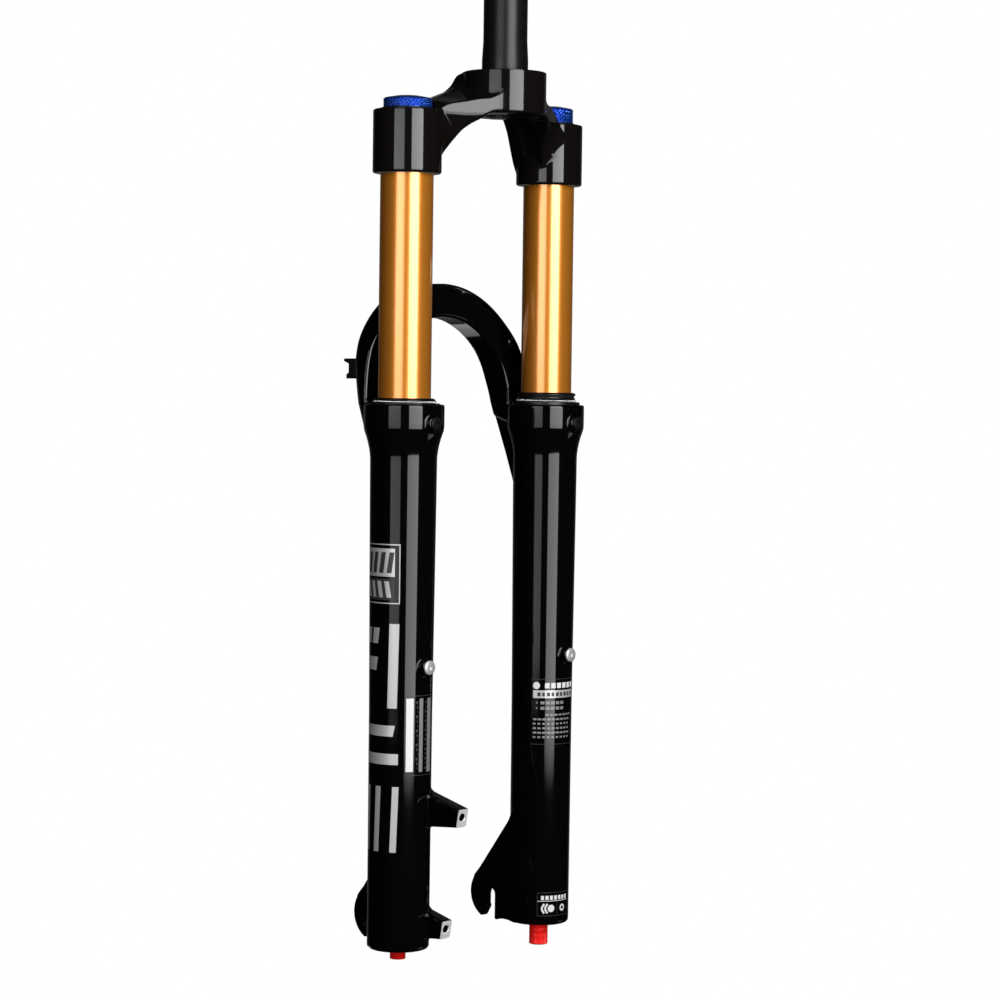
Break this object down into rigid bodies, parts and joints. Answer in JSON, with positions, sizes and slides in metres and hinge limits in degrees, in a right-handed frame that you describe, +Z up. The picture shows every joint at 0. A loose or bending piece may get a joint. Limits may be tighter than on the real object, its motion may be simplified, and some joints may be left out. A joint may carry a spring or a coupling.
{
  "type": "bicycle suspension fork",
  "caption": "Air-sprung suspension fork: straight steerer, forged crown, gold stanchions sliding in a one-piece black lower with arch, open dropouts and a post mount for a disc brake.",
  "frame": {"origin": "on the steering axis, at the crown race seat where the tube leaves the crown", "axes": "+Z up the steerer, +Y forward in the direction of travel, +X to the rider's right"},
  "size_m": [0.188, 0.108, 0.8],
  "materials": {
    "black_paint": "deep gloss black paint over a magnesium casting",
    "crown_black": "gloss black over forged aluminium",
    "steerer_black": "bead-blasted and black anodised",
    "gold_anodised": "polished and gold anodised",
    "blue_anodised": "blue anodised, knurled",
    "red_anodised": "red anodised",
    "black_anodised": "black anodised",
    "bare_aluminium": "machined",
    "brass": "turned",
    "ground_steel": "ground",
    "zinc_steel": "zinc plated",
    "black_steel": "black oxide",
    "spring_steel": "bright wire",
    "black_rubber": "moulded, satin",
    "bushing": "dry-bearing lining on a steel-backed strip",
    "foam": "oiled open-cell foam",
    "glide_plastic": "filled fluoropolymer",
    "black_plastic": "moulded"
  },
  "bodies": {
    "crown_unit": {"steerer_tube": "steerer_black", "crown": "crown_black", "stanchion_left": "gold_anodised", "stanchion_right": "gold_anodised", "air_top_cap": "black_anodised", "air_valve_core": "brass", "damper_top_cap": "black_anodised", "top_cap_o_rings": "black_rubber", "air_seal_head": "bare_aluminium", "damper_seal_head": "bare_aluminium", "seal_head_clips": "black_steel", "topout_bumpers": "black_rubber", "compression_tube": "black_plastic", "compression_valve": "bare_aluminium"},
    "lowers": {"lower_legs": "black_paint", "wiper_seal_left": "black_rubber", "wiper_seal_right": "black_rubber", "wiper_springs": "spring_steel", "foam_rings": "foam", "upper_bushing_left": "bushing", "upper_bushing_right": "bushing", "lower_bushing_left": "bushing", "lower_bushing_right": "bushing", "air_shaft": "ground_steel", "air_piston": "black_plastic", "air_piston_seal": "black_rubber", "damper_shaft": "ground_steel", "rebound_piston": "bare_aluminium", "piston_glide_ring": "glide_plastic", "rebound_shims": "ground_steel", "air_foot_bolt": "red_anodised", "damper_foot_bolt": "black_steel", "crush_washers": "bare_aluminium", "bottom_out_bumpers": "black_rubber", "bleed_screws": "black_steel", "port_screws": "zinc_steel", "hose_guide": "black_plastic", "hose_guide_screw": "zinc_steel"},
    "lockout": {"lockout_knob": "blue_anodised", "lockout_knob_screw": "black_steel", "lockout_shaft": "ground_steel", "lockout_plate": "bare_aluminium"},
    "rebound": {"rebound_knob": "red_anodised", "rebound_rod": "ground_steel"},
    "valve_cap": {"air_valve_cap": "blue_anodised"},
    "valve_pin": {"air_valve_pin": "brass"}
  },
  "joints": [
    {"name": "fork_travel", "type": "slide", "parent": "crown_unit", "child": "lowers", "axis": [0, 0, 1], "range_m": [0, 0.12]},
    {"name": "lockout_turn", "type": "hinge", "parent": "crown_unit", "child": "lockout", "pos_m": [0.068, 0.021, 0], "axis": [0, 0, 1], "range_deg": [0, 90]},
    {"name": "rebound_turn", "type": "hinge", "parent": "lowers", "child": "rebound", "pos_m": [0.068, 0.021, 0], "axis": [0, 0, 1], "range_deg": [0, 330]},
    {"name": "valve_cap_lift", "type": "slide", "parent": "crown_unit", "child": "valve_cap", "axis": [0, 0, 1], "range_m": [0, 0.02]},
    {"name": "valve_pin_press", "type": "slide", "parent": "crown_unit", "child": "valve_pin", "axis": [0, 0, -1], "range_m": [0, 0.0012]}
  ]
}
